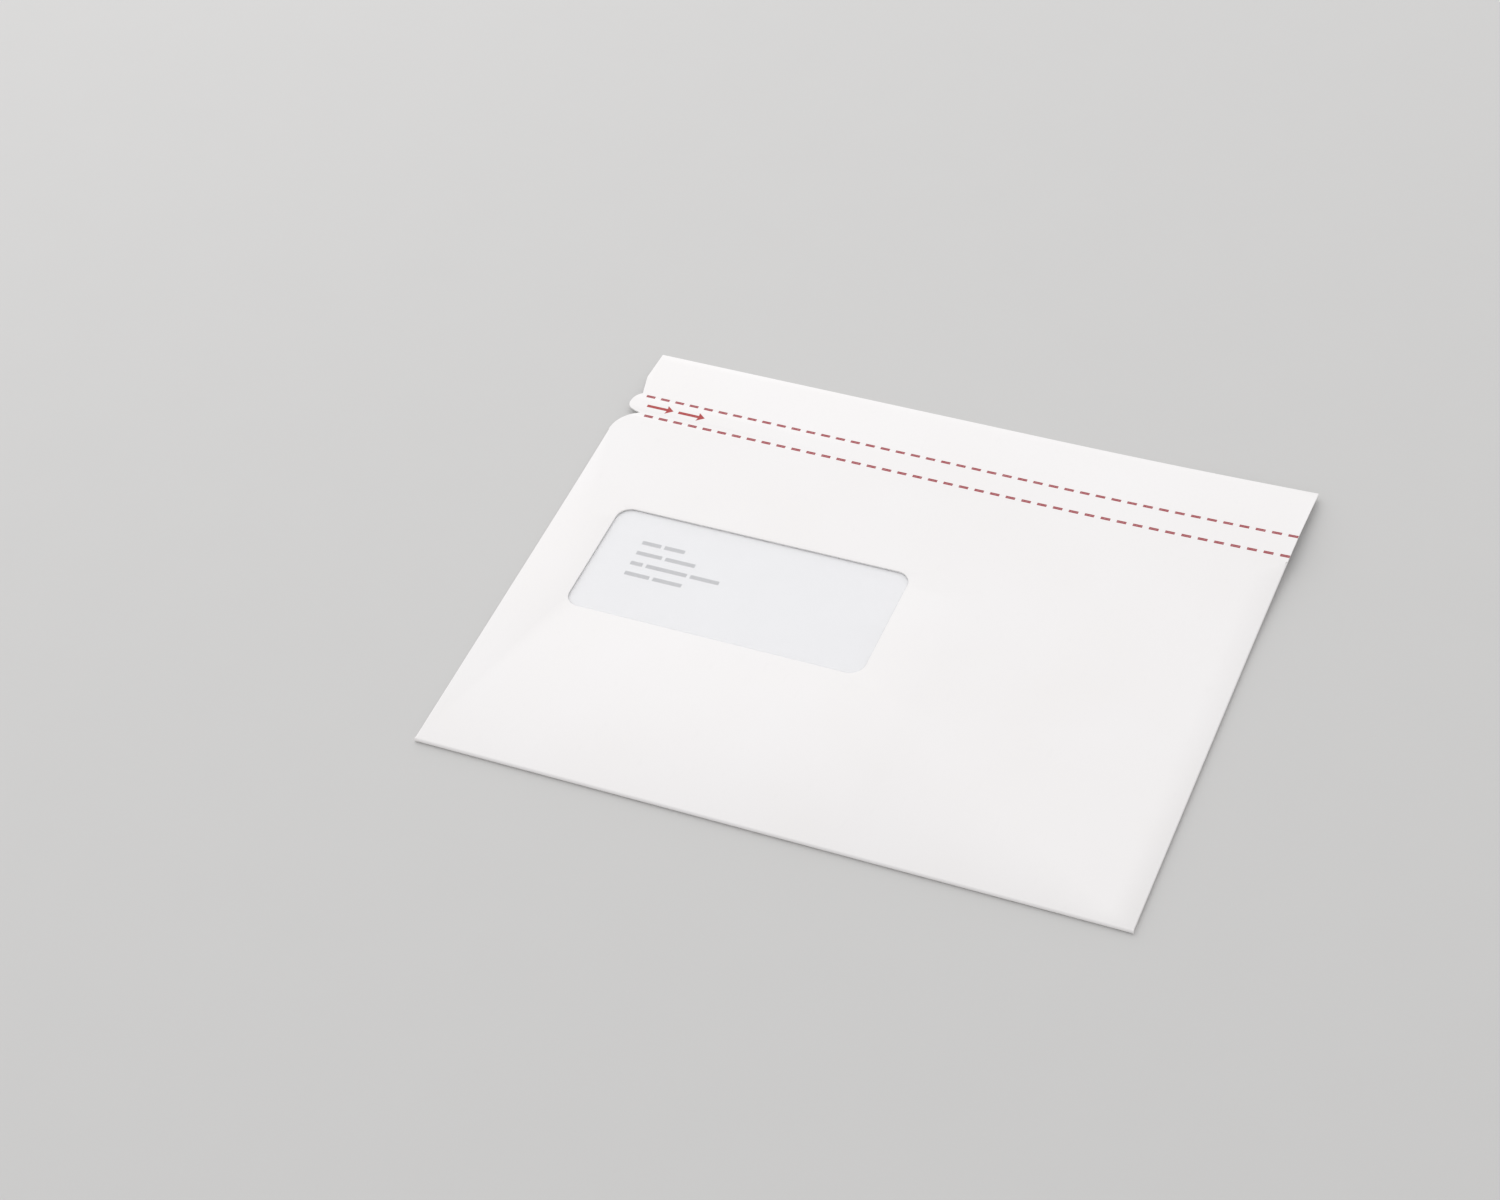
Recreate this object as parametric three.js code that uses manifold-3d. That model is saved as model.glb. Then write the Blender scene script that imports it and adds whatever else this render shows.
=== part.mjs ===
// Window envelope: a white board mailing envelope with an address window and a tear strip.
// Millimetres, +Z up. It lies on its back panel, window up, with its closing flap open along +Y.
// While it is drawn, the lower left corner of the front panel is at X 0, Y 0. The finished group
// is centred on its outline, with the surface that it rests on at Z 0.
import * as THREE from 'three';
import { mergeGeometries, mergeVertices } from 'three/addons/utils/BufferGeometryUtils.js';
import Module from 'manifold-3d';

const wasm = await Module();
wasm.setup();

// Board blank
const boardThickness = 0.5;
const bodyWidth = 229;
const foldHeight = 162;
const flapLength = 22;
const flapInset = 1.8;
const flapOverhang = 0.4;
const flapBevel = 9.3;

// Tear strip, its pull tab and the two notches that free the tab
const stripWidth = 9.05;
const notchRise = 0.9;
const lowerNotchDepth = 7;
const upperNotchDepth = 3.9;
const tabInset = 1.5;
const shoulderRadius = 11;

// Perforated lines
const slitLength = 3;
const slitPitch = 5.28;
const slitWidth = 0.25;
const slitEndMargin = 1.95;

// Pocket
const throatSetback = 2.3;
const sideFlapWidth = 8.5;
const sideFlapTaper = 6;
const backInset = 1;
const backTaper = 5;

// Address window and its film
const windowWidth = 101;
const windowHeight = 45.4;
const windowLeft = 19.2;
const windowBottom = 66.5;
const windowRadius = 5;
const filmThickness = 0.1;
const filmMargin = 7;
const glueLine = 0.05;

// Letter sheet: with this side clearance it has the width of A5
const letterSideClearance = 0.5;
const letterHeight = 148;
const letterThickness = 0.12;
const letterClearance = 0.06;
const letterStandoff = 0.5;

// Self-seal band under the flap
const bandWidth = 7;
const bandEndMargin = 8;
const bandThickness = 0.1;
const bandOverlap = 0.5;
const linerThickness = 0.1;
const linerLip = 0.5;

// How the board lies: level to bendStart, rising to the tear strip, and then down to the flap's edge.
// The right end curls up from curlStart on, and the pocket's side spreads outwards as it rises.
const bendStart = 100;
const stripRise = 0.65;
const flapEdgeHeight = 0.15;
const flapCurl = 0.25;
const curlStart = 140;
const endCurl = 1.65;
const sideSpread = 0.8;
const bodyBays = 6;
const flapBays = 3;
const curlBays = 5;

// Worked out from the values above
const pocketGap = boardThickness;
const bodyThickness = 2 * boardThickness + pocketGap;
const frontBottom = bodyThickness - boardThickness;
const foldRadius = bodyThickness / 2;
const lowerPerforation = foldHeight - stripWidth;
const throatHeight = lowerPerforation - throatSetback;
const totalHeight = foldHeight + flapLength;
const flapEnd = bodyWidth + flapOverhang;
const rightEdge = flapEnd + sideSpread;
const lowerNotchHeight = lowerPerforation + notchRise;
const upperNotchHeight = foldHeight + notchRise;
const shoulderAngle = Math.acos(1 - lowerNotchDepth / shoulderRadius);
const shoulderStart = lowerNotchHeight - shoulderRadius * Math.sin(shoulderAngle);
const letterWidth = bodyWidth - 2 * (boardThickness + sideFlapWidth + letterSideClearance);
const cutterTop = 2 * bodyThickness + stripRise + endCurl;
const bite = boardThickness / 5;
const arcSteps = 6;

// A geometry as a closed solid that can be joined and cut
function toSolid(geometry) {
  geometry.deleteAttribute('normal');
  geometry.deleteAttribute('uv');
  const merged = mergeVertices(geometry, 1e-5);
  const mesh = new wasm.Mesh({
    numProp: 3,
    vertProperties: Float32Array.from(merged.attributes.position.array),
    triVerts: Uint32Array.from(merged.index.array),
  });
  return new wasm.Manifold(mesh);
}

// A flat plate with the outline of a shape
function plate(shape, bottom, top) {
  const options = { depth: top - bottom, bevelEnabled: false, curveSegments: arcSteps };
  return toSolid(new THREE.ExtrudeGeometry(shape, options).translate(0, 0, bottom));
}

function block(left, right, front, back, bottom, top) {
  const geometry = new THREE.BoxGeometry(right - left, back - front, top - bottom);
  return geometry.translate((left + right) / 2, (front + back) / 2, (bottom + top) / 2);
}

// A section drawn in Y and Z, run along X
function runAlongX(section, left, right) {
  const options = { depth: right - left, bevelEnabled: false, curveSegments: arcSteps };
  const turn = new THREE.Matrix4().makeBasis(
    new THREE.Vector3(0, 1, 0), new THREE.Vector3(0, 0, 1), new THREE.Vector3(1, 0, 0));
  return toSolid(new THREE.ExtrudeGeometry(section, options).applyMatrix4(turn).translate(left, 0, 0));
}

// A section drawn in Z and X, run along Y
function runAlongY(section, front, back) {
  const options = { depth: back - front, bevelEnabled: false, curveSegments: arcSteps };
  const turn = new THREE.Matrix4().makeBasis(
    new THREE.Vector3(0, 0, 1), new THREE.Vector3(1, 0, 0), new THREE.Vector3(0, 1, 0));
  return toSolid(new THREE.ExtrudeGeometry(section, options).applyMatrix4(turn).translate(0, front, 0));
}

// Two leaves joined by a round fold: the fold touches `front`, and both leaves end at `back`
function foldedSection(front, back, bottom, leaf, gap) {
  const radius = leaf + gap / 2;
  const y = front + radius;
  const z = bottom + radius;
  const section = new THREE.Shape();
  section.moveTo(back, z + radius);
  section.absarc(y, z, radius, Math.PI / 2, 3 * Math.PI / 2, false);
  section.lineTo(back, z - radius);
  section.lineTo(back, z - gap / 2);
  section.absarc(y, z, gap / 2, 3 * Math.PI / 2, Math.PI / 2, true);
  section.lineTo(back, z + gap / 2);
  return section;
}

// The front panel, tear strip and flap before the tab and the window are cut. The sides of the
// pocket stop one board short, where their round folds take over.
function frontBlank() {
  const blank = new THREE.Shape();
  blank.moveTo(boardThickness, foldRadius);
  blank.lineTo(bodyWidth - boardThickness, foldRadius);
  blank.lineTo(bodyWidth - boardThickness, throatHeight);
  blank.lineTo(bodyWidth, throatHeight);
  blank.lineTo(bodyWidth, lowerPerforation);
  blank.lineTo(flapEnd, totalHeight);
  blank.lineTo(0, totalHeight);
  blank.lineTo(0, shoulderStart);
  blank.lineTo(boardThickness, shoulderStart);
  return blank;
}

// The scrap cut away at the left: down the flap's bevel, in to the upper notch, round the pull
// tab, in to the lower notch and out along the round shoulder of the body
function leftScrap() {
  const scrap = new THREE.Shape();
  const tipHeight = lowerNotchHeight + 0.45 * stripWidth;
  const outside = -bodyThickness;
  scrap.moveTo(outside, totalHeight + bodyThickness);
  scrap.lineTo(flapInset, totalHeight + bodyThickness);
  scrap.lineTo(flapInset, foldHeight + flapBevel);
  scrap.lineTo(upperNotchDepth, upperNotchHeight);
  scrap.bezierCurveTo(
    (upperNotchDepth + tabInset) / 2, upperNotchHeight - 0.09 * stripWidth,
    tabInset, tipHeight + 0.3 * stripWidth,
    tabInset, tipHeight);
  scrap.bezierCurveTo(
    tabInset, tipHeight - 0.3 * stripWidth,
    (tabInset + lowerNotchDepth) / 2, lowerNotchHeight + 0.09 * stripWidth,
    lowerNotchDepth, lowerNotchHeight);
  scrap.absarc(
    shoulderRadius, shoulderStart, shoulderRadius, Math.PI - shoulderAngle, Math.PI, false);
  scrap.lineTo(outside, shoulderStart);
  return scrap;
}

function windowOpening() {
  const right = windowLeft + windowWidth;
  const top = windowBottom + windowHeight;
  const r = windowRadius;
  const opening = new THREE.Shape();
  opening.moveTo(windowLeft, windowBottom + r);
  opening.absarc(windowLeft + r, top - r, r, Math.PI, Math.PI / 2, true);
  opening.absarc(right - r, top - r, r, Math.PI / 2, 0, true);
  opening.absarc(right - r, windowBottom + r, r, 0, -Math.PI / 2, true);
  opening.absarc(windowLeft + r, windowBottom + r, r, -Math.PI / 2, -Math.PI, true);
  return opening;
}

// One side seam: the tight round fold at the side and the glued flap behind it
function sideSeam(mirrored, seamTop) {
  const centre = frontBottom;
  const section = new THREE.Shape();
  section.moveTo(bodyThickness, boardThickness + bite);
  section.lineTo(bodyThickness, boardThickness);
  section.absarc(centre, boardThickness, boardThickness, 0, -Math.PI, true);
  section.lineTo(boardThickness - bite, boardThickness);
  section.lineTo(boardThickness - bite, boardThickness + bite);
  const inner = boardThickness + sideFlapWidth;
  const flap = new THREE.Shape();
  flap.moveTo(boardThickness, bodyThickness);
  flap.lineTo(inner, bodyThickness + sideFlapTaper);
  flap.lineTo(inner, seamTop - sideFlapTaper);
  flap.lineTo(boardThickness, seamTop);
  const fold = runAlongY(section, foldRadius, seamTop);
  const seam = fold.add(plate(flap, boardThickness - bite, frontBottom + bite));
  return mirrored ? seam.mirror([1, 0, 0]).translate([bodyWidth, 0, 0]) : seam;
}

// The slits of one perforated line, evenly spaced from its notch to the right edge, where the last
// one runs out
function slitRow(height, notchDepth) {
  const first = notchDepth + slitEndMargin;
  const last = bodyWidth + sideSpread - slitLength;
  const gaps = Math.round((last - first) / slitPitch);
  const slits = [];
  for (let i = 0; i <= gaps; i += 1) {
    const left = first + (i / gaps) * (last - first);
    const overrun = i === gaps ? slitLength : 0;
    slits.push(block(
      left, left + slitLength + overrun,
      height - slitWidth / 2, height + slitWidth / 2,
      -bodyThickness, cutterTop));
  }
  return toSolid(mergeGeometries(slits));
}

// The back panel: as wide as the front at the bottom fold, and drawn in a little above it
function backPanel() {
  const foldEnd = foldRadius + bite;
  const panel = new THREE.Shape();
  panel.moveTo(0, foldRadius);
  panel.lineTo(bodyWidth, foldRadius);
  panel.lineTo(bodyWidth, foldEnd);
  panel.lineTo(bodyWidth - backInset, foldEnd + backTaper);
  panel.lineTo(bodyWidth - backInset, throatHeight);
  panel.lineTo(backInset, throatHeight);
  panel.lineTo(backInset, foldEnd + backTaper);
  panel.lineTo(0, foldEnd);
  return panel;
}

function envelopeBoard() {
  const bottomFold = foldedSection(0, foldRadius + bite, 0, boardThickness, pocketGap);
  const folded = plate(frontBlank(), frontBottom, bodyThickness)
    .add(plate(backPanel(), 0, boardThickness))
    .add(runAlongX(bottomFold, 0, bodyWidth))
    .add(sideSeam(false, shoulderStart))
    .add(sideSeam(true, throatHeight));
  return layDown(folded)
    .subtract(plate(leftScrap(), -bodyThickness, cutterTop))
    .subtract(plate(windowOpening(), bodyThickness / 2, cutterTop))
    .subtract(slitRow(foldHeight, upperNotchDepth))
    .subtract(slitRow(lowerPerforation, lowerNotchDepth));
}

function windowFilm() {
  const top = frontBottom - glueLine;
  return layDown(toSolid(block(
    windowLeft - filmMargin, windowLeft + windowWidth + filmMargin,
    windowBottom - filmMargin, windowBottom + windowHeight + filmMargin,
    top - filmThickness, top)));
}

function letterSheet() {
  const left = (bodyWidth - letterWidth) / 2;
  const front = boardThickness + letterStandoff;
  const bottom = boardThickness + letterClearance;
  return layDown(toSolid(block(
    left, left + letterWidth, front, front + letterHeight, bottom, bottom + letterThickness)));
}

// The band starts where the closed flap first meets the back panel
const bandStart = 2 * foldHeight - throatHeight + bandOverlap;

function flapAdhesive() {
  const top = frontBottom - glueLine;
  return layDown(toSolid(block(
    flapInset + bandEndMargin, flapEnd - bandEndMargin,
    bandStart, bandStart + bandWidth, top - bandThickness, top)));
}

function releaseLiner() {
  const top = frontBottom - 2 * glueLine - bandThickness;
  return layDown(toSolid(block(
    flapInset + bandEndMargin - linerLip, flapEnd - bandEndMargin + linerLip,
    bandStart - linerLip, bandStart + bandWidth + linerLip, top - linerThickness, top)));
}

// Places along Y at which the board changes its slope: its height there at the left, and the
// share of the right end's curl and spread that it has there
function layStations() {
  const stations = [];
  for (let i = 0; i <= bodyBays; i += 1) {
    const share = i / bodyBays;
    const y = bendStart + share * (lowerPerforation - bendStart);
    stations.push({ y, height: stripRise * share ** 2, share: share ** 2 });
  }
  for (let i = 0; i <= flapBays; i += 1) {
    const way = i / flapBays;
    const drop = way - flapCurl * way * (1 - way);
    const height = stripRise + (flapEdgeHeight - frontBottom - stripRise) * drop;
    stations.push({ y: foldHeight + way * flapLength, height, share: 1 });
  }
  return stations;
}

const stations = layStations();
const curlBay = (bodyWidth - curlStart) / curlBays;

// How far the right end is curled up at a place along X
function curl(x) {
  const place = Math.max(0, (x - curlStart) / curlBay);
  const bay = Math.min(Math.floor(place), curlBays - 1);
  const from = (bay / curlBays) ** 2;
  const to = ((bay + 1) / curlBays) ** 2;
  return endCurl * THREE.MathUtils.lerp(from, to, place - bay);
}

// Where a point of the flat envelope lies once the board has come to rest
function atRest(x, y, z) {
  let next = stations.findIndex((station) => y < station.y);
  if (next === 0) return [x, y, z];
  if (next === -1) next = stations.length - 1;
  const before = stations[next - 1];
  const after = stations[next];
  const way = (y - before.y) / (after.y - before.y);
  const share = THREE.MathUtils.lerp(before.share, after.share, way);
  const height = THREE.MathUtils.lerp(before.height, after.height, way);
  const spread = sideSpread * Math.min(1, x / bodyWidth);
  return [x + spread * share, y, z + height + curl(x) * share];
}

// Cuts every face along a plane across one axis, so that the faces can bend there
function crease(points, faces, axis, position) {
  const made = new Map();
  const crossing = (from, to) => {
    const [a, b] = from < to ? [from, to] : [to, from];
    const key = `${a} ${b}`;
    if (!made.has(key)) {
      const share = (position - points[a][axis]) / (points[b][axis] - points[a][axis]);
      made.set(key, points.length);
      points.push(points[a].map((value, i) => value + share * (points[b][i] - value)));
    }
    return made.get(key);
  };
  const side = (i) => {
    const off = points[i][axis] - position;
    return Math.abs(off) < 1e-3 ? 0 : Math.sign(off);
  };
  const parts = [];
  for (const face of faces) {
    const sides = face.map(side);
    if (!sides.includes(1) || !sides.includes(-1)) {
      parts.push(face);
      continue;
    }
    const onPlane = sides.indexOf(0);
    const odd = sides.reduce((sum, value) => sum + value, 0);
    const lead = onPlane >= 0 ? onPlane : sides.indexOf(-odd);
    const [a, b, c] = [0, 1, 2].map((i) => face[(lead + i) % 3]);
    if (onPlane >= 0) {
      const middle = crossing(b, c);
      parts.push([a, b, middle], [a, middle, c]);
    } else {
      const first = crossing(a, b);
      const last = crossing(a, c);
      parts.push([a, first, last], [first, b, c], [first, c, last]);
    }
  }
  return parts;
}

// A flat solid laid down in the shape that the board takes at rest
function layDown(solid) {
  const mesh = solid.getMesh();
  const points = [];
  for (let i = 0; i < mesh.vertProperties.length; i += mesh.numProp) {
    points.push(Array.from(mesh.vertProperties.slice(i, i + 3)));
  }
  let faces = [];
  for (let i = 0; i < mesh.triVerts.length; i += 3) {
    faces.push(Array.from(mesh.triVerts.slice(i, i + 3)));
  }
  for (const station of stations) {
    faces = crease(points, faces, 1, station.y);
  }
  for (let i = 0; i < curlBays; i += 1) {
    faces = crease(points, faces, 0, curlStart + i * curlBay);
  }
  const laid = points.flatMap(([x, y, z]) => atRest(x, y, z));
  const geometry = new THREE.BufferGeometry();
  geometry.setAttribute('position', new THREE.Float32BufferAttribute(laid, 3));
  geometry.setIndex(faces.flat());
  return toSolid(geometry);
}

function piece(name, solid, finish) {
  const { vertProperties, triVerts } = solid.getMesh();
  const geometry = new THREE.BufferGeometry();
  geometry.setAttribute('position', new THREE.BufferAttribute(vertProperties, 3));
  geometry.setIndex(Array.from(triVerts));
  geometry.computeVertexNormals();
  const mesh = new THREE.Mesh(geometry, new THREE.MeshStandardMaterial(finish));
  mesh.name = name;
  return mesh;
}

const envelope = new THREE.Group();
envelope.add(
  piece('envelope_board', envelopeBoard(), { color: 0xf5f3f3, roughness: 0.6, metalness: 0 }),
  piece('window_film', windowFilm(),
    { color: 0xf1f1f4, roughness: 0.15, metalness: 0, transparent: true, opacity: 0.25 }),
  piece('letter_sheet', letterSheet(), { color: 0xf2f1f2, roughness: 0.8, metalness: 0 }),
  piece('flap_adhesive', flapAdhesive(), { color: 0xe8e2d0, roughness: 0.4, metalness: 0 }),
  piece('release_liner', releaseLiner(), { color: 0xefe6c8, roughness: 0.35, metalness: 0 }),
);
envelope.position.set(-rightEdge / 2, -totalHeight / 2, 0);

export default envelope;
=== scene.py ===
"""Window envelope: a white board mailing envelope with an address window and a tear strip."""

import math

import bpy
from bpy.props import FloatProperty, FloatVectorProperty, PointerProperty
from mathutils import Matrix, Vector


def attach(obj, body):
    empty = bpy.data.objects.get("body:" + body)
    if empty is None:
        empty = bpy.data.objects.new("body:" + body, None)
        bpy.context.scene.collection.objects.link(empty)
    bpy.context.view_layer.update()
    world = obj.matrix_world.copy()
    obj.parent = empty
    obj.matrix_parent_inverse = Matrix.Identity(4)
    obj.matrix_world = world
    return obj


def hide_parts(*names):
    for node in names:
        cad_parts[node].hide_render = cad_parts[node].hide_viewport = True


bl_info = {
    "name": "Window Envelope",
    "version": (1, 0, 0),
    "blender": (4, 5, 0),
    "location": "3D View > Sidebar > Envelope",
    "description": "Builds a board window envelope with a tear strip around its packed frame",
    "category": "Add Mesh",
}

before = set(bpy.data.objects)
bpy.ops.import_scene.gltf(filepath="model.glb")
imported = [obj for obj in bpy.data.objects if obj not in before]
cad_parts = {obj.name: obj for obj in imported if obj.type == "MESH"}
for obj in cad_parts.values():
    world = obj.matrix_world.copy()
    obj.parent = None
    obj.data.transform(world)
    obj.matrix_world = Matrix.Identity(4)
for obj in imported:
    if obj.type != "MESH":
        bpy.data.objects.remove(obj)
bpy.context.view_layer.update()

MM = 0.001
FULL_TURN = 2 * math.pi

# The pull tab's outline, as shares of the strip's width
TAB_MIDDLE = 0.45
TAB_ROUND = 0.3
TAB_FLARE = 0.09

# How the flap bends, and how finely the pieces are cut to follow curves and bends
FLAP_CURL = 0.25
BAY = 2.7 * MM
COLUMN = 8 * MM
ARC_STEPS = 14
TAB_STEPS = 10
FOLD_SIDES = 32

# Small distances and angles that tell vertices, edges and faces apart
OVERLAP = 0.02 * MM
REACH = 0.01 * MM
WELD = 0.001 * MM
FLAT_ANGLE = math.radians(0.5)
CREASE_ANGLE = math.radians(32)
SHARP_ANGLE = math.radians(60)

# Red print on the board
PRINT_BLUR = 0.07 * MM
PRINT_WANDER = 0.03 * MM
PRINT_SPREAD = 0.08 * MM
DASH_WIDTH = 1.08 * MM
ARROW_TIPS = (17.5 * MM, 28.85 * MM)
ARROW_MIDDLE = 0.52
ARROW_LENGTH = 9.6 * MM
ARROW_SHAFT = 1.16 * MM
SHAFT_STOP = 1 * MM
HEAD_LENGTH = 2.6 * MM
HEAD_HALF = 1.95 * MM
HEAD_SLOPE = HEAD_HALF / HEAD_LENGTH
BARB_SWEEP = 0.2

# Grey bars on the letter, in place of its words
BARS_TOP = 100.2 * MM
BARS_LEFT = 32.1 * MM
BAR_PITCH = 4.67 * MM
BAR_HEIGHT = 1.6 * MM
BAR_GAP = 1.2 * MM
BAR_BLUR = 0.12 * MM
BAR_LENGTHS = ((6.6, 7.1), (8.9, 10.4), (4.2, 14.2, 10.0), (8.6, 10.0))

# Scales of the noise in the finishes, in cycles for each metre
WANDER_SCALE = 260
BOARD_CLOUDS = 22
BOARD_FIBRES = 520
BOARD_SPECKS = 1700
BOARD_WAVES = 9
BAR_PATCHES = 900
PAPER_CLOUDS = 30
PAPER_SPECKS = 1400
FILM_RIPPLES = 38
FILM_CLOUDS = 60
FILM_SMEARS = 90
ADHESIVE_STREAKS = 300
LINER_CLOUDS = 140
LINER_SPECKS = 700
FLOOR_CLOUDS = 40

# Casts and depths of the finishes
WARM_CAST = (0.985, 0.98, 0.972)
FIBRE_GREY = (0.78, 0.77, 0.76)
WAVE_DEPTH = 0.10 * MM
PRESS_DEPTH = 0.05 * MM
PRESS_HALF = 0.15 * MM
PRESS_BLUR = 0.8 * MM
BOARD_GRAIN = 0.012 * MM
PAPER_GRAIN = 0.01 * MM
RIPPLE_DEPTH = 0.5 * MM
STREAK_DEPTH = 0.03 * MM
EDGE_BLUR = 0.05 * MM

# Floor, light and camera
FLOOR_SIZE = 6
FLOOR_DROP = 0.05 * MM
LAMP_PLACE = Vector((-0.62, 0.66, 0.80))
LAMP_SIZE = 1.8
LAMP_POWER = 8.8
ROOM_LIGHT = 0.74
CAMERA_PLACE = Vector((0.28999, -0.62432, 0.72344))
CAMERA_VIEW = Vector((-0.3277, 0.6145, -0.7177))
CAMERA_ROLL = math.radians(-7.3)
CAMERA_LENS = 77.0
CAMERA_SENSOR = 36
CAMERA_REACH = 20


def length(name, description, millimetres):
    return FloatProperty(name=name, description=description, default=millimetres * MM, unit="LENGTH")


def tint(name, description, colour):
    return FloatVectorProperty(
        name=name, description=description, default=colour, size=3, subtype="COLOR", min=0, max=1
    )


class EnvelopeSizes(bpy.types.PropertyGroup):
    """Real sizes of the board blank, measured from the lower left corner of the front panel"""

    board: length("Board", "Thickness of the board", 0.5)
    body_width: length("Body width", "Width of the folded pocket", 229)
    fold_height: length("Fold height", "Height of the upper perforation, where the flap folds", 162)
    flap_length: length("Flap length", "Height of the closing flap above its fold", 22)
    flap_inset: length("Flap inset", "Distance of the flap's left edge from the body's", 1.8)
    flap_overhang: length("Flap overhang", "How far the flap's edge runs past the strip at the right", 0.4)
    flap_bevel: length("Flap bevel", "Height of the bevel at the flap's foot", 9.3)
    strip_width: length("Strip width", "Distance between the perforated lines", 9.05)
    notch_rise: length("Notch rise", "Height of a notch above its perforated line", 0.9)
    lower_notch: length("Lower notch", "Depth of the notch below the pull tab", 7)
    upper_notch: length("Upper notch", "Depth of the notch above the pull tab", 3.9)
    tab_inset: length("Tab inset", "Distance of the pull tab's tip from the body's edge", 1.5)
    shoulder: length("Shoulder", "Radius of the body's corner at the pull tab", 11)
    slit_length: length("Slit length", "Length of one perforation slit", 3)
    slit_pitch: length("Slit pitch", "Rough distance from one slit to the next", 5.28)
    slit_width: length("Slit width", "Width of a slit as it stands open", 0.06)
    slit_margin: length("Slit margin", "Uncut board beside a notch", 1.95)
    throat_setback: length("Throat setback", "Drop of the back panel below the lower perforation", 2.3)
    side_flap: length("Side flap", "Width of the glued flaps inside the pocket", 8.5)
    side_taper: length("Side taper", "Slope of the side flaps' ends", 6)
    back_inset: length("Back inset", "Distance of the back panel from the side folds", 1)
    back_taper: length("Back taper", "Height over which the back panel draws in", 5)
    edge_round: length("Edge rounding", "Softness of the cut edges", 0.1)
    window_left: length("Window left", "Left edge of the window", 19.2)
    window_bottom: length("Window bottom", "Lower edge of the window", 66.5)
    window_width: length("Window width", "Width of the window", 101)
    window_height: length("Window height", "Height of the window", 45.4)
    window_radius: length("Window radius", "Corner radius of the window", 5)
    window_round: length("Window rounding", "Rounding of the window's pressed upper rim", 0.3)
    bend_start: length("Bend start", "Height at which the board starts to rise", 100)
    strip_rise: length("Strip rise", "Lift of the tear strip", 0.65)
    curl_start: length("Curl start", "Distance from the left at which the right end starts to curl", 140)
    end_curl: length("End curl", "Lift of the right edge above the rest of the strip", 1.65)
    side_spread: length("Side spread", "How far the right side spreads outwards at the strip", 0.8)
    flap_edge: length("Flap edge height", "Height of the flap's lower edge above the surface", 0.15)


class EnvelopeColours(bpy.types.PropertyGroup):
    """Colours of the board, the print, the film, the letter and the closure"""

    board: tint("Board", "White coated board", (0.920, 0.903, 0.905))
    core: tint("Board core", "Pulp in the cut edges", (0.91, 0.90, 0.885))
    ink: tint("Arrow ink", "Red print of the arrows", (0.43, 0.028, 0.028))
    # Dash ink is the red print with painted shade of the knife-cut slits mixed in, so the dashes come out
    # darker than the arrows
    dash_ink_and_slit_shade: tint("Dash ink", "Red print of the dashes, darkened by the cuts in them", (0.37, 0.030, 0.045))
    film: tint("Film", "Tint of the clear film", (0.93, 0.93, 0.955))
    letter: tint("Letter", "White letter paper", (0.93, 0.928, 0.937))
    grey_print: tint("Letter print", "Grey print on the letter", (0.30, 0.30, 0.32))
    adhesive: tint("Adhesive", "Self-seal adhesive", (0.62, 0.54, 0.38))
    liner: tint("Liner", "Release paper", (0.76, 0.68, 0.45))
    floor: tint("Floor", "Plain pale floor", (0.64, 0.635, 0.63))


def sizes():
    return bpy.context.scene.envelope_sizes


def colours():
    return bpy.context.scene.envelope_colours


class Layout:
    """Places that follow from the sizes, in metres from the lower left corner of the front panel"""

    def __init__(self):
        s = sizes()
        self.s = s
        self.thickness = 3 * s.board
        self.front_bottom = self.thickness - s.board
        self.fold_radius = self.thickness / 2
        self.lower_line = s.fold_height - s.strip_width
        self.throat = self.lower_line - s.throat_setback
        self.total_height = s.fold_height + s.flap_length
        self.flap_end = s.body_width + s.flap_overhang
        self.right_edge = self.flap_end + s.side_spread
        self.low_notch_height = self.lower_line + s.notch_rise
        self.high_notch_height = s.fold_height + s.notch_rise
        self.shoulder_turn = math.acos(1 - s.lower_notch / s.shoulder)
        self.shoulder_start = self.low_notch_height - s.shoulder * math.sin(self.shoulder_turn)

    def at_rest(self, x, y, z):
        """Where a point of the flat envelope lies once the board has come to rest"""
        s = self.s
        share = min(1, max(0, (y - s.bend_start) / (self.lower_line - s.bend_start))) ** 2
        way = max(0, (y - s.fold_height) / s.flap_length)
        drop = way - FLAP_CURL * way * (1 - way)
        height = s.strip_rise * share + (s.flap_edge - self.front_bottom - s.strip_rise) * drop
        curl = s.end_curl * max(0, (x - s.curl_start) / (s.body_width - s.curl_start)) ** 2
        spread = s.side_spread * min(1, x / s.body_width)
        return (x + spread * share, y, z + height + curl * share)

    def shoulder_point(self, turn):
        """A point of the round shoulder, turned up from its start on the left edge"""
        s = self.s
        return (s.shoulder * (1 - math.cos(turn)), self.shoulder_start + s.shoulder * math.sin(turn))


def deselect_all():
    for obj in bpy.context.selected_objects:
        obj.select_set(False)


def make_active(obj):
    deselect_all()
    obj.select_set(True)
    bpy.context.view_layer.objects.active = obj


def curve_points(start, control_a, control_b, end, steps):
    """Points along a cubic curve, without its start"""
    points = []
    for i in range(1, steps + 1):
        t = i / steps
        u = 1 - t
        weights = (u**3, 3 * u * u * t, 3 * u * t * t, t**3)
        corners = (start, control_a, control_b, end)
        points.append(tuple(sum(w * c[k] for w, c in zip(weights, corners)) for k in range(2)))
    return points


def arc_points(centre, radius, start, end, steps):
    """Points along an arc, both ends included"""
    turns = [start + (end - start) * i / steps for i in range(steps + 1)]
    return [(centre[0] + radius * math.cos(a), centre[1] + radius * math.sin(a)) for a in turns]


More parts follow.
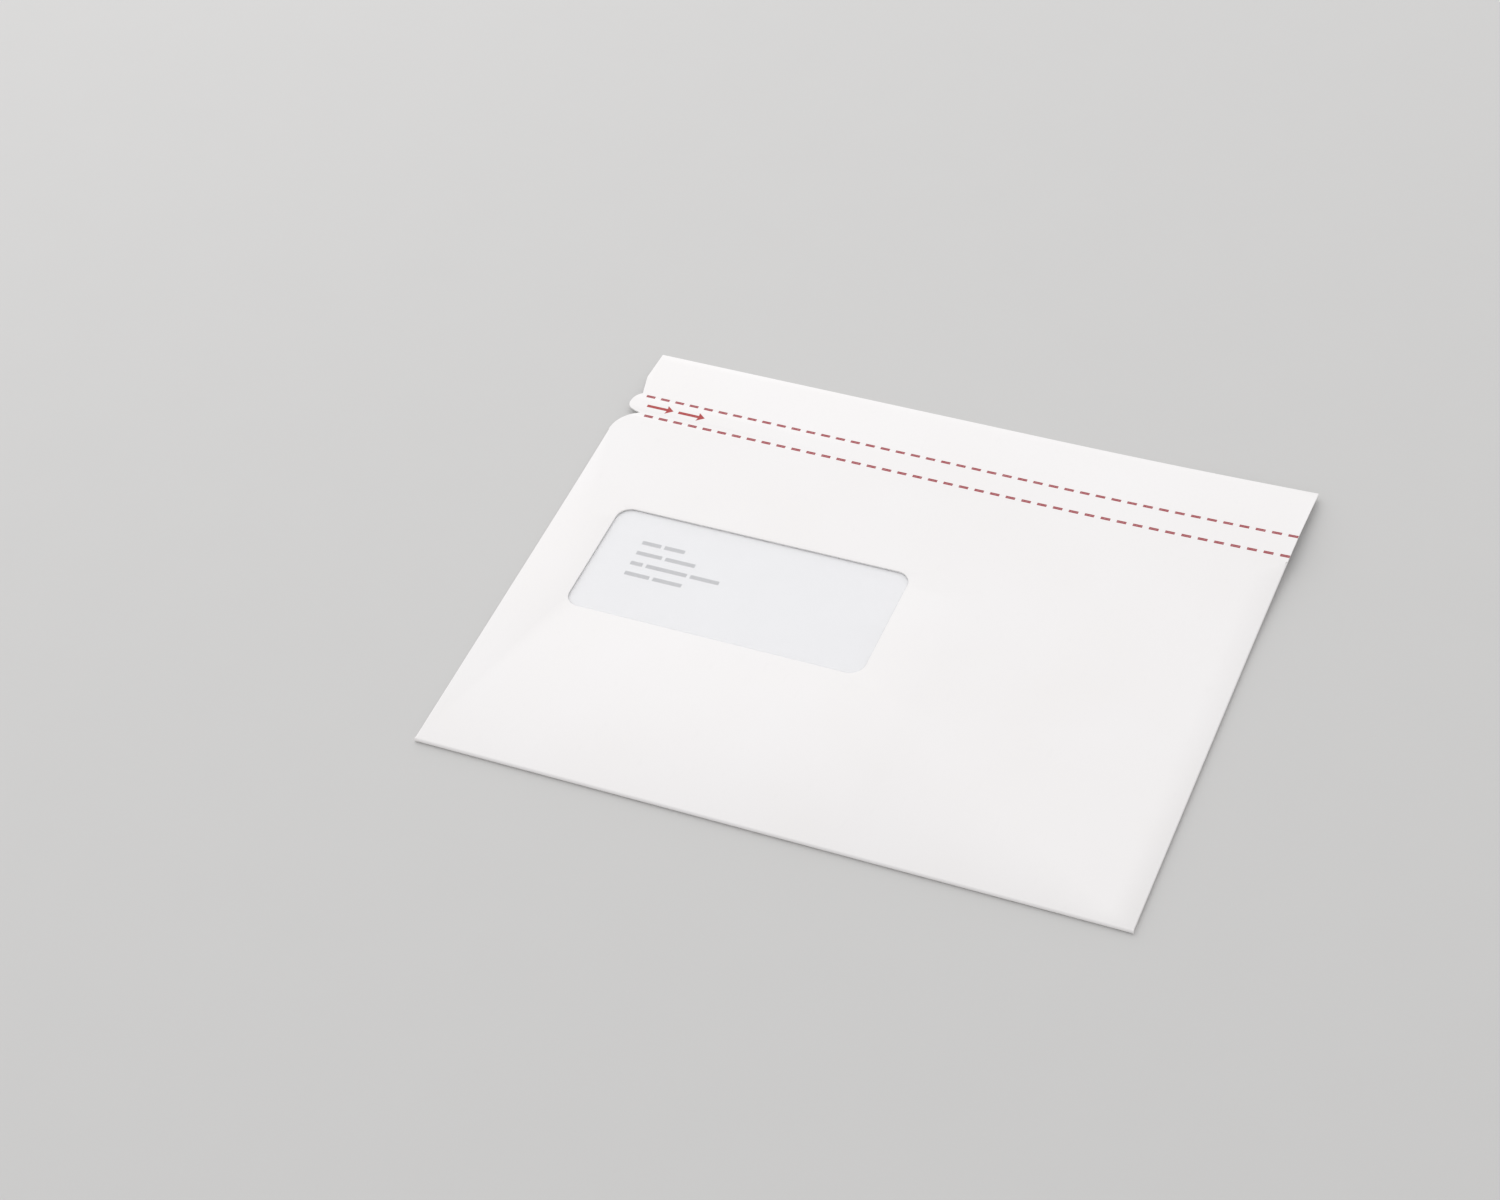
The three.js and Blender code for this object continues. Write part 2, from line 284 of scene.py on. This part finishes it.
def front_outline(place):
    """The front panel, the tear strip with its pull tab, and the closing flap"""
    s = place.s
    inner = s.board - OVERLAP
    notch_low = (s.lower_notch, place.low_notch_height)
    notch_high = (s.upper_notch, place.high_notch_height)
    tip = (s.tab_inset, place.low_notch_height + TAB_MIDDLE * s.strip_width)
    points = [
        (inner, place.fold_radius - OVERLAP),
        (s.body_width - inner, place.fold_radius - OVERLAP),
        (s.body_width - inner, place.throat),
        (s.body_width, place.throat),
        (s.body_width, place.lower_line),
        (place.flap_end, place.total_height),
        (s.flap_inset, place.total_height),
        (s.flap_inset, s.fold_height + s.flap_bevel),
        notch_high,
    ]
    points += curve_points(
        notch_high,
        ((s.upper_notch + s.tab_inset) / 2, place.high_notch_height - TAB_FLARE * s.strip_width),
        (s.tab_inset, tip[1] + TAB_ROUND * s.strip_width),
        tip,
        TAB_STEPS,
    )
    points += curve_points(
        tip,
        (s.tab_inset, tip[1] - TAB_ROUND * s.strip_width),
        ((s.tab_inset + s.lower_notch) / 2, place.low_notch_height + TAB_FLARE * s.strip_width),
        notch_low,
        TAB_STEPS,
    )
    for i in range(ARC_STEPS - 1, -1, -1):
        points.append(place.shoulder_point(place.shoulder_turn * i / ARC_STEPS))
    points.append((inner, place.shoulder_start))
    return points


def window_outline(place):
    s = place.s
    r = s.window_radius
    left, right = s.window_left, s.window_left + s.window_width
    bottom, top = s.window_bottom, s.window_bottom + s.window_height
    points = []
    corners = ((right - r, bottom + r), (right - r, top - r), (left + r, top - r), (left + r, bottom + r))
    for i, centre in enumerate(corners):
        start = (i - 1) * FULL_TURN / 4
        points += arc_points(centre, r, start, start + FULL_TURN / 4, ARC_STEPS)
    return points


def slit_row(place, notch):
    """Start of the first slit of a perforated line, distance to the next one and number of slits"""
    s = place.s
    first = notch + s.slit_margin
    last = s.body_width - s.slit_length
    gaps = round((last - first) / s.slit_pitch)
    return first, (last - first) / gaps, gaps + 1


def slit_outlines(place, height, notch):
    """The slits of one perforated line, the last of which ends just inside the right edge"""
    s = place.s
    first, pitch, count = slit_row(place, notch)
    half = s.slit_width / 2
    outlines = []
    for i in range(count):
        left = first + i * pitch
        right = left + s.slit_length - (s.slit_width if i == count - 1 else 0)
        outlines.append([
            (left, height),
            (left + half, height - half),
            (right - half, height - half),
            (right, height),
            (right - half, height + half),
            (left + half, height + half),
        ])
    return outlines


def back_outline(place):
    s = place.s
    first = math.acos(1 - s.back_inset / s.shoulder)
    last = math.asin((place.throat - place.shoulder_start) / s.shoulder)
    points = [
        (s.back_inset, place.fold_radius + s.back_taper),
        (0, place.fold_radius),
        (0, place.fold_radius - OVERLAP),
        (s.body_width, place.fold_radius - OVERLAP),
        (s.body_width, place.fold_radius),
        (s.body_width - s.back_inset, place.fold_radius + s.back_taper),
        (s.body_width - s.back_inset, place.throat),
    ]
    for i in range(ARC_STEPS + 1):
        points.append(place.shoulder_point(last + (first - last) * i / ARC_STEPS))
    return points


def side_flap_outline(place, mirrored):
    s = place.s
    top = place.throat if mirrored else place.shoulder_start
    inner = s.board + s.side_flap
    points = [
        (s.board, place.thickness),
        (inner, place.thickness + s.side_taper),
        (inner, top - s.side_taper),
        (s.board, top),
    ]
    if mirrored:
        points = [(s.body_width - x, y) for x, y in reversed(points)]
    return points


def plate(name, outlines, bottom, top, rounding):
    """A flat board with holes, from filled outlines, with its cut edges rounded"""
    curve = bpy.data.curves.new(name, "CURVE")
    curve.dimensions = "2D"
    curve.fill_mode = "BOTH"
    curve.extrude = (top - bottom) / 2
    for outline in outlines:
        spline = curve.splines.new("POLY")
        spline.points.add(len(outline) - 1)
        for point, (x, y) in zip(spline.points, outline):
            point.co = (x, y, 0, 1)
        spline.use_cyclic_u = True
    obj = bpy.data.objects.new(name, curve)
    bpy.context.collection.objects.link(obj)
    make_active(obj)
    bpy.ops.object.convert(target="MESH")
    obj = bpy.context.view_layer.objects.active
    bpy.ops.object.mode_set(mode="EDIT")
    bpy.ops.mesh.select_all(action="SELECT")
    bpy.ops.mesh.remove_doubles(threshold=WELD)
    bpy.ops.transform.translate(value=(0, 0, (bottom + top) / 2))
    bpy.ops.mesh.dissolve_limited(angle_limit=FLAT_ANGLE)
    bpy.ops.mesh.normals_make_consistent(inside=False)
    if len(outlines) > 1:
        press_window(obj, top)
    if rounding:
        round_edges(obj, rounding, outlines[0])
    bpy.ops.object.mode_set(mode="OBJECT")
    return obj


def press_window(obj, top):
    """Rounds the upper rim of the window opening"""
    s = sizes()
    bpy.ops.mesh.select_mode(type="EDGE")
    bpy.ops.mesh.select_all(action="DESELECT")
    bpy.ops.object.mode_set(mode="OBJECT")
    for edge in obj.data.edges:
        ends = [obj.data.vertices[i].co for i in edge.vertices]
        edge.select = all(
            abs(end.x - s.window_left - s.window_width / 2) < s.window_width / 2 + REACH
            and abs(end.y - s.window_bottom - s.window_height / 2) < s.window_height / 2 + REACH
            and end.z > top - REACH
            for end in ends
        )
    bpy.ops.object.mode_set(mode="EDIT")
    bpy.ops.mesh.bevel(offset=s.window_round, segments=3, affect="EDGES", clamp_overlap=True)


def round_edges(obj, rounding, outline):
    """Rounds the sharp edges of a plate, but for its slits, whose edges stay as the knife left them"""
    bpy.ops.mesh.select_mode(type="EDGE")
    bpy.ops.mesh.select_all(action="DESELECT")
    bpy.ops.mesh.edges_select_sharp(sharpness=SHARP_ANGLE)
    bpy.ops.object.mode_set(mode="OBJECT")
    s = sizes()
    rows = (s.fold_height, s.fold_height - s.strip_width)
    rims = [Vector(point) for point in outline]
    for edge in obj.data.edges:
        ends = [obj.data.vertices[i].co.xy for i in edge.vertices]
        in_row = all(min(abs(end.y - row) for row in rows) < s.slit_width for end in ends)
        on_rim = any((end - rim).length < s.slit_width / 4 for end in ends for rim in rims)
        if edge.select and in_row and not on_rim:
            edge.select = False
    bpy.ops.object.mode_set(mode="EDIT")
    bpy.ops.mesh.bevel(offset=rounding, segments=2, affect="EDGES", clamp_overlap=True)


def fold(name, centre, radius, run, axis, ends):
    """A tube along X or Y, one half of which becomes a round fold"""
    turn = (0, math.radians(90), 0) if axis == "X" else (math.radians(90), 0, 0)
    deselect_all()
    bpy.ops.mesh.primitive_cylinder_add(
        vertices=FOLD_SIDES, radius=radius, depth=run, end_fill_type=ends, location=centre, rotation=turn
    )
    obj = bpy.context.view_layer.objects.active
    obj.name = name
    bpy.ops.object.transform_apply(location=True, rotation=True, scale=True)
    return obj


def cut_away(obj, point, normal, closed):
    """Removes what lies on the side that the plane's normal points to, and closes the cut if asked to"""
    make_active(obj)
    bpy.ops.object.mode_set(mode="EDIT")
    bpy.ops.mesh.select_all(action="SELECT")
    bpy.ops.mesh.bisect(plane_co=point, plane_no=normal, clear_outer=True, use_fill=closed)
    bpy.ops.object.mode_set(mode="OBJECT")


def thicken(obj, wall):
    """Gives a shell a wall, on its inner side"""
    make_active(obj)
    shell = obj.modifiers.new("board", "SOLIDIFY")
    shell.thickness = wall
    shell.offset = -1
    bpy.ops.object.modifier_apply(modifier=shell.name)


def side_seam(place, mirrored):
    """The flap glued inside one side of the pocket, and the round fold that joins it to the front"""
    s = place.s
    flap = plate("side flap", [side_flap_outline(place, mirrored)], s.board, place.front_bottom, 0)
    top = place.throat if mirrored else place.shoulder_start
    x = s.body_width - s.board if mirrored else s.board
    run = top - place.fold_radius
    middle = (x, place.fold_radius + run / 2, place.front_bottom)
    seam = fold("side fold", middle, s.board, run, "Y", "NGON")
    cut_away(seam, (x, 0, 0), (-1, 0, 0) if mirrored else (1, 0, 0), True)
    return [flap, seam]


def bottom_fold(place):
    """The round fold between the front and the back panel"""
    s = place.s
    middle = (s.body_width / 2, place.fold_radius, place.fold_radius)
    nose = fold("bottom fold", middle, place.fold_radius, s.body_width, "X", "NOTHING")
    cut_away(nose, (0, place.fold_radius, 0), (0, 1, 0), False)
    thicken(nose, s.board)
    return nose


def lay_down(obj, place):
    """Bends a flat piece into the shape that the board takes at rest"""
    s = place.s
    make_active(obj)
    bpy.ops.object.mode_set(mode="EDIT")
    bpy.ops.mesh.select_all(action="SELECT")
    bpy.ops.mesh.quads_convert_to_tris()
    rows = [s.bend_start + BAY * i for i in range(int((place.total_height - s.bend_start) / BAY))]
    top = max(v.co.y for v in obj.data.vertices)
    for row in rows:
        if row < top:
            bpy.ops.mesh.select_all(action="SELECT")
            bpy.ops.mesh.bisect(plane_co=(0, row, 0), plane_no=(0, 1, 0))
    for i in range(int((s.body_width - s.curl_start) / COLUMN)):
        bpy.ops.mesh.select_all(action="SELECT")
        bpy.ops.mesh.bisect(plane_co=(s.curl_start + COLUMN * i, 0, 0), plane_no=(1, 0, 0))
    bpy.ops.mesh.select_all(action="SELECT")
    bpy.ops.mesh.quads_convert_to_tris()
    bpy.ops.object.mode_set(mode="OBJECT")
    for vertex in obj.data.vertices:
        vertex.co = place.at_rest(*vertex.co)
    obj.data.transform(Matrix.Translation((-place.right_edge / 2, -place.total_height / 2, 0)))
    obj.data.update()


def smooth(obj):
    make_active(obj)
    bpy.ops.object.shade_smooth_by_angle(angle=CREASE_ANGLE)


class Field:
    """A number or vector socket of a material, usable in arithmetic"""

    def __init__(self, finish, socket):
        self.finish = finish
        self.socket = socket

    def maths(self, operation, *others, clamp=False):
        settings = {"operation": operation, "use_clamp": clamp}
        node = self.finish.node("ShaderNodeMath", settings, {i: v for i, v in enumerate((self, *others))})
        return Field(self.finish, node.outputs[0])

    def __add__(self, other):
        return self.maths("ADD", other)

    __radd__ = __add__

    def __mul__(self, other):
        return self.maths("MULTIPLY", other)

    __rmul__ = __mul__

    def __sub__(self, other):
        return self.maths("SUBTRACT", other)

    def __rsub__(self, other):
        return (self * -1) + other

    def __truediv__(self, other):
        return self.maths("DIVIDE", other)

    def __abs__(self):
        return self.maths("ABSOLUTE")

    def part(self):
        return self.maths("FRACT")

    def clamp(self):
        return self.maths("ADD", 0.0, clamp=True)

    def larger(self, other):
        return self.maths("MAXIMUM", other)

    def above(self, start, slope):
        """0 up to the start, then rising with the slope to 1"""
        return ((self - start) * slope).clamp()

    def inside(self, soft):
        """1 where the value is above 0, 0 where it is below, with a soft edge"""
        return (self / soft + 0.5).clamp()

    def band(self, centre, half, soft):
        """1 within half of the centre, 0 outside, with a soft edge"""
        return (half - abs(self - centre)).inside(soft)


class Finish:
    """A material built around one shader, with short calls for the nodes that it needs"""

    def __init__(self, name, **constants):
        self.material = bpy.data.materials.new(name)
        self.material.use_nodes = True
        self.tree = self.material.node_tree
        self.tree.nodes.clear()
        output = self.tree.nodes.new("ShaderNodeOutputMaterial")
        self.shader = self.tree.nodes.new("ShaderNodeBsdfPrincipled")
        self.tree.links.new(self.shader.outputs[0], output.inputs[0])
        for socket, value in constants.items():
            self.shader.inputs[socket.replace("_", " ")].default_value = value
        self.place = self.node("ShaderNodeTexCoord", {}, {}).outputs["Object"]
        axes = self.node("ShaderNodeSeparateXYZ", {}, {0: self.place})
        self.x, self.y, self.z = (Field(self, axes.outputs[i]) for i in range(3))

    def node(self, kind, settings, values):
        node = self.tree.nodes.new(kind)
        for name, value in settings.items():
            setattr(node, name, value)
        for key, value in values.items():
            socket = node.inputs[key]
            if isinstance(value, Field):
                value = value.socket
            if isinstance(value, bpy.types.NodeSocket):
                self.tree.links.new(value, socket)
            else:
                socket.default_value = value
        return node

    def noise(self, scale, detail=2.0, stretch=(1, 1, 1), shift=(0, 0, 0)):
        """Noise from 0 to 1, its scale in cycles for each metre"""
        mapped = self.node(
            "ShaderNodeMapping", {}, {"Vector": self.place, "Scale": stretch, "Location": shift}
        ).outputs[0]
        values = {"Vector": mapped, "Scale": scale, "Detail": detail}
        return Field(self, self.node("ShaderNodeTexNoise", {}, values).outputs[0])

    def facing_up(self):
        """1 where the surface faces up, -1 where it faces down"""
        normal = self.node("ShaderNodeNewGeometry", {}, {}).outputs["Normal"]
        return Field(self, self.node("ShaderNodeSeparateXYZ", {}, {0: normal}).outputs["Z"])

    def mix(self, share, first, second):
        """A colour between two colours"""
        values = {0: share}
        for key, colour in ((6, first), (7, second)):
            is_plain = not isinstance(colour, (Field, bpy.types.NodeSocket))
            values[key] = (*colour, 1.0) if is_plain else colour
        return self.node("ShaderNodeMix", {"data_type": "RGBA"}, values).outputs[2]

    def set(self, socket, value):
        if isinstance(value, Field):
            value = value.socket
        self.tree.links.new(value, self.shader.inputs[socket])

    def bump(self, height, distance, strength=1.0, below=None):
        """A Bump node; the height runs from 0 to 1 and the distance is its real depth in metres"""
        values = {"Height": height, "Distance": distance, "Strength": strength}
        if below is not None:
            values["Normal"] = below
        return self.node("ShaderNodeBump", {}, values).outputs[0]


def on_blank(finish, place):
    """How far a point lies from the left and from the bottom of the envelope"""
    return finish.x + place.right_edge / 2, finish.y + place.total_height / 2


def printed_marks(finish, place):
    """The masks of the red print: two rows of dashes, and two arrows that point along the strip"""
    s = place.s
    laid, up = on_blank(finish, place)
    from_left = laid * (s.body_width / (s.body_width + s.side_spread))
    wander = (finish.noise(WANDER_SCALE) - 0.5) * PRINT_WANDER
    rows = arrows = None
    for height, notch in ((s.fold_height, s.upper_notch), (place.lower_line, s.lower_notch)):
        first, pitch, _ = slit_row(place, notch)
        run = from_left - first + PRINT_SPREAD
        along = (run / pitch).part() * pitch - PRINT_SPREAD
        dash = along.band(s.slit_length / 2, s.slit_length / 2 + PRINT_SPREAD, PRINT_BLUR)
        row = (up + wander).band(height, DASH_WIDTH / 2, PRINT_BLUR) * dash * run.inside(PRINT_BLUR)
        rows = row if rows is None else rows.larger(row)
    centre = place.lower_line + ARROW_MIDDLE * s.strip_width
    off = abs(up - centre + wander)
    for tip in ARROW_TIPS:
        middle = tip - (ARROW_LENGTH + SHAFT_STOP) / 2
        shaft = from_left.band(middle, (ARROW_LENGTH - SHAFT_STOP) / 2, PRINT_BLUR)
        shaft *= (ARROW_SHAFT / 2 - off).inside(PRINT_BLUR)
        slope = ((tip - from_left) * HEAD_SLOPE - off).inside(PRINT_BLUR)
        barb = (from_left - (tip - HEAD_LENGTH) - (HEAD_HALF - off) * BARB_SWEEP).inside(PRINT_BLUR)
        arrow = shaft.larger(slope * barb)
        arrows = arrow if arrows is None else arrows.larger(arrow)
    top_face = finish.facing_up().above(0.5, 8)
    return rows * top_face, arrows * top_face


def cut_edge_mask(finish, place):
    """1 where the board's rim is a cut edge, 0 along the folded sides and bottom"""
    s = place.s
    steepness = 1 / EDGE_BLUR
    from_left, up = on_blank(finish, place)
    above_throat = up.above(place.throat, steepness)
    off_the_folds = from_left.band(s.body_width / 2, s.body_width / 2 - s.board, EDGE_BLUR)
    off_the_folds *= up.above(place.thickness, steepness)
    at_shoulder = up.above(place.shoulder_start, steepness) * (1 - from_left.above(s.shoulder, steepness))
    return above_throat.larger(off_the_folds).larger(at_shoulder)


def board_finish(place):
    """White coated board: faint clouding, fine grain, pale pulp in the cut edges, red print, with painted
    shade of the knife cuts darkening the dashes
    """
    c = colours()
    s = place.s
    finish = Finish("white board", Specular_IOR_Level=0.35)
    clouds = finish.noise(BOARD_CLOUDS, 3)
    grain = finish.noise(BOARD_SPECKS, 4)
    fibres = finish.noise(BOARD_FIBRES, 3, stretch=(1, 0.35, 1))
    warm = tuple(v * k for v, k in zip(c.board, WARM_CAST))
    paper = finish.mix(clouds.above(0.32, 1.8), tuple(c.board), warm)
    paper = finish.mix(fibres.above(0.62, 5) * 0.10, paper, FIBRE_GREY)
    rim = 1 - abs(finish.facing_up()).above(0.35, 6)
    paper = finish.mix(rim * cut_edge_mask(finish, place) * 0.75, paper, tuple(c.core))
    rows, arrows = printed_marks(finish, place)
    marks = rows.larger(arrows)
    # The dashes take the darker red: the print plus painted shade of the slits cut through them
    ink = finish.mix(rows, tuple(c.ink), tuple(c.dash_ink_and_slit_shade))
    cover = 0.97 - grain.above(0.45, 1.5) * 0.15
    finish.set("Base Color", finish.mix(marks * cover, paper, ink))
    finish.set("Roughness", 0.56 + (clouds - 0.5) * 0.10 + marks * 0.06)
    up = on_blank(finish, place)[1]
    pressed = up.band(s.fold_height, PRESS_HALF, PRESS_BLUR)
    pressed = pressed.larger(up.band(place.lower_line, PRESS_HALF, PRESS_BLUR))
    waves = finish.bump(finish.noise(BOARD_WAVES, 1), WAVE_DEPTH)
    crease = finish.bump(1 - pressed, PRESS_DEPTH, below=waves)
    finish.set("Normal", finish.bump(grain * 0.6 + fibres * 0.4, BOARD_GRAIN, below=crease))
    return finish.material


def grey_bars(finish, place):
    """The mask of the lines of grey bars that stand for the words of an address"""
    from_left, up = on_blank(finish, place)
    bars = None
    for i, lengths in enumerate(BAR_LENGTHS):
        line = up.band(BARS_TOP - i * BAR_PITCH - BAR_HEIGHT / 2, BAR_HEIGHT / 2, BAR_BLUR)
        start = BARS_LEFT
        for millimetres in lengths:
            half = millimetres * MM / 2
            bar = line * from_left.band(start + half, half, BAR_BLUR)
            bars = bar if bars is None else bars.larger(bar)
            start += 2 * half + BAR_GAP
    return bars * finish.facing_up().above(0.5, 8)


def letter_finish(place):
    """White letter paper with lines of grey bars behind the window"""
    c = colours()
    finish = Finish("letter paper", Specular_IOR_Level=0.3)
    marks = grey_bars(finish, place) * (0.68 - finish.noise(BAR_PATCHES, 2) * 0.16)
    clouds = finish.noise(PAPER_CLOUDS, 3)
    paper = finish.mix(clouds.above(0.3, 1.6), tuple(c.letter), tuple(v * 0.985 for v in c.letter))
    finish.set("Base Color", finish.mix(marks, paper, tuple(c.grey_print)))
    finish.set("Roughness", 0.70 + (clouds - 0.5) * 0.1)
    finish.set("Normal", finish.bump(finish.noise(PAPER_SPECKS, 3), PAPER_GRAIN))
    return finish.material


def film_finish():
    """Thin clear film: a faint cool tint and slow ripples in its shine"""
    finish = Finish("clear film", IOR=1.4, Alpha=0.14)
    ripples = finish.noise(FILM_RIPPLES, 2, stretch=(1, 2.2, 1))
    tone = tuple(v * 0.97 for v in colours().film)
    finish.set("Base Color", finish.mix(finish.noise(FILM_CLOUDS, 2), tuple(colours().film), tone))
    finish.set("Roughness", 0.10 + finish.noise(FILM_SMEARS, 2) * 0.10)
    finish.set("Normal", finish.bump(ripples, RIPPLE_DEPTH))
    return finish.material


def adhesive_finish():
    """Band of tacky adhesive with small gathered streaks"""
    finish = Finish("self-seal adhesive", Roughness=0.3, Coat_Weight=0.3)
    streaks = finish.noise(ADHESIVE_STREAKS, 3, stretch=(0.25, 1, 1))
    tone = tuple(v * 0.85 for v in colours().adhesive)
    finish.set("Base Color", finish.mix(streaks, tuple(colours().adhesive), tone))
    finish.set("Normal", finish.bump(streaks, STREAK_DEPTH))
    return finish.material


def liner_finish():
    """Smooth pale release paper with faint fibre clouding"""
    finish = Finish("release paper")
    clouds = finish.noise(LINER_CLOUDS, 4)
    tone = tuple(v * 0.93 for v in colours().liner)
    finish.set("Base Color", finish.mix(clouds, tuple(colours().liner), tone))
    finish.set("Roughness", 0.32 + clouds * 0.12)
    finish.set("Normal", finish.bump(finish.noise(LINER_SPECKS, 3), PAPER_GRAIN))
    return finish.material


def dress(node, material):
    """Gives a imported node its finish"""
    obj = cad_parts[node]
    obj.data.materials.clear()
    obj.data.materials.append(material)


class EnvelopeBoard(bpy.types.Operator):
    """Folds and lays down the board blank with its window, tear strip, pull tab and flap"""

    bl_idname = "envelope.board"
    bl_label = "Board"

    def execute(self, context):
        place = Layout()
        s = place.s
        outlines = [front_outline(place), window_outline(place)]
        outlines += slit_outlines(place, s.fold_height, s.upper_notch)
        outlines += slit_outlines(place, place.lower_line, s.lower_notch)
        parts = [
            plate("board", outlines, place.front_bottom, place.thickness, s.edge_round),
            plate("back panel", [back_outline(place)], 0, s.board, s.edge_round),
        ]
        parts += [*side_seam(place, False), *side_seam(place, True), bottom_fold(place)]
        for part in parts:
            lay_down(part, place)
        deselect_all()
        for part in parts:
            part.select_set(True)
        bpy.context.view_layer.objects.active = parts[0]
        bpy.ops.object.join()
        board = bpy.context.view_layer.objects.active
        board.name = "board_blank"
        board.data.materials.clear()
        board.data.materials.append(board_finish(place))
        smooth(board)
        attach(board, "root")
        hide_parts("envelope_board")
        return {"FINISHED"}


class EnvelopeFilm(bpy.types.Operator):
    """Finishes the clear film behind the window"""

    bl_idname = "envelope.film"
    bl_label = "Window film"

    def execute(self, context):
        dress("window_film", film_finish())
        return {"FINISHED"}


class EnvelopeLetter(bpy.types.Operator):
    """Finishes the letter sheet inside the pocket"""

    bl_idname = "envelope.letter"
    bl_label = "Letter sheet"

    def execute(self, context):
        dress("letter_sheet", letter_finish(Layout()))
        return {"FINISHED"}


class EnvelopeClosure(bpy.types.Operator):
    """Finishes the adhesive band and its release liner under the flap"""

    bl_idname = "envelope.closure"
    bl_label = "Flap closure"

    def execute(self, context):
        dress("flap_adhesive", adhesive_finish())
        dress("release_liner", liner_finish())
        return {"FINISHED"}


class EnvelopeStage(bpy.types.Operator):
    """Sets the floor, the soft light and the camera"""

    bl_idname = "envelope.stage"
    bl_label = "Stage"

    def execute(self, context):
        deselect_all()
        bpy.ops.mesh.primitive_plane_add(size=FLOOR_SIZE, location=(0, 0, -FLOOR_DROP))
        floor = bpy.context.view_layer.objects.active
        floor.name = "floor"
        finish = Finish("pale floor", Roughness=0.8, Specular_IOR_Level=0.2)
        tone = tuple(v * 0.985 for v in colours().floor)
        finish.set("Base Color", finish.mix(finish.noise(FLOOR_CLOUDS, 3), tuple(colours().floor), tone))
        floor.data.materials.append(finish.material)
        self.light()
        world = bpy.data.worlds.new("soft room")
        bpy.context.scene.world = world
        world.use_nodes = True
        background = world.node_tree.nodes["Background"]
        background.inputs[0].default_value = (1, 1, 1, 1)
        background.inputs[1].default_value = ROOM_LIGHT
        self.camera()
        bpy.context.scene.view_settings.view_transform = "Standard"
        return {"FINISHED"}

    def light(self):
        deselect_all()
        bpy.ops.object.light_add(type="AREA", location=LAMP_PLACE)
        lamp = bpy.context.view_layer.objects.active
        lamp.data.size = LAMP_SIZE
        lamp.data.energy = LAMP_POWER
        lamp.rotation_euler = (-LAMP_PLACE).to_track_quat("-Z", "Y").to_euler()

    def camera(self):
        deselect_all()
        bpy.ops.object.camera_add(location=CAMERA_PLACE)
        camera = bpy.context.view_layer.objects.active
        aim = CAMERA_VIEW.to_track_quat("-Z", "Y").to_matrix()
        roll = Matrix.Rotation(CAMERA_ROLL, 3, "Z")
        camera.rotation_euler = (aim @ roll).to_euler()
        camera.data.lens = CAMERA_LENS
        camera.data.sensor_width = CAMERA_SENSOR
        camera.data.clip_end = CAMERA_REACH
        bpy.context.scene.camera = camera


class EnvelopePanel(bpy.types.Panel):
    """Lists the sizes, the colours and the building steps"""

    bl_idname = "VIEW3D_PT_window_envelope"
    bl_label = "Window Envelope"
    bl_space_type = "VIEW_3D"
    bl_region_type = "UI"
    bl_category = "Envelope"

    def draw(self, context):
        for step in STEPS:
            self.layout.operator(step.bl_idname)
        for group in (context.scene.envelope_sizes, context.scene.envelope_colours):
            box = self.layout.box()
            for name in group.__annotations__:
                box.prop(group, name)


STEPS = (EnvelopeBoard, EnvelopeFilm, EnvelopeLetter, EnvelopeClosure, EnvelopeStage)
CLASSES = (EnvelopeSizes, EnvelopeColours, *STEPS, EnvelopePanel)


def register():
    for cls in CLASSES:
        bpy.utils.register_class(cls)
    bpy.types.Scene.envelope_sizes = PointerProperty(type=EnvelopeSizes)
    bpy.types.Scene.envelope_colours = PointerProperty(type=EnvelopeColours)


def unregister():
    del bpy.types.Scene.envelope_colours
    del bpy.types.Scene.envelope_sizes
    for cls in reversed(CLASSES):
        bpy.utils.unregister_class(cls)


def main():
    register()
    bpy.ops.envelope.board()
    bpy.ops.envelope.film()
    bpy.ops.envelope.letter()
    bpy.ops.envelope.closure()
    bpy.ops.envelope.stage()


if __name__ == "__main__":
    main()
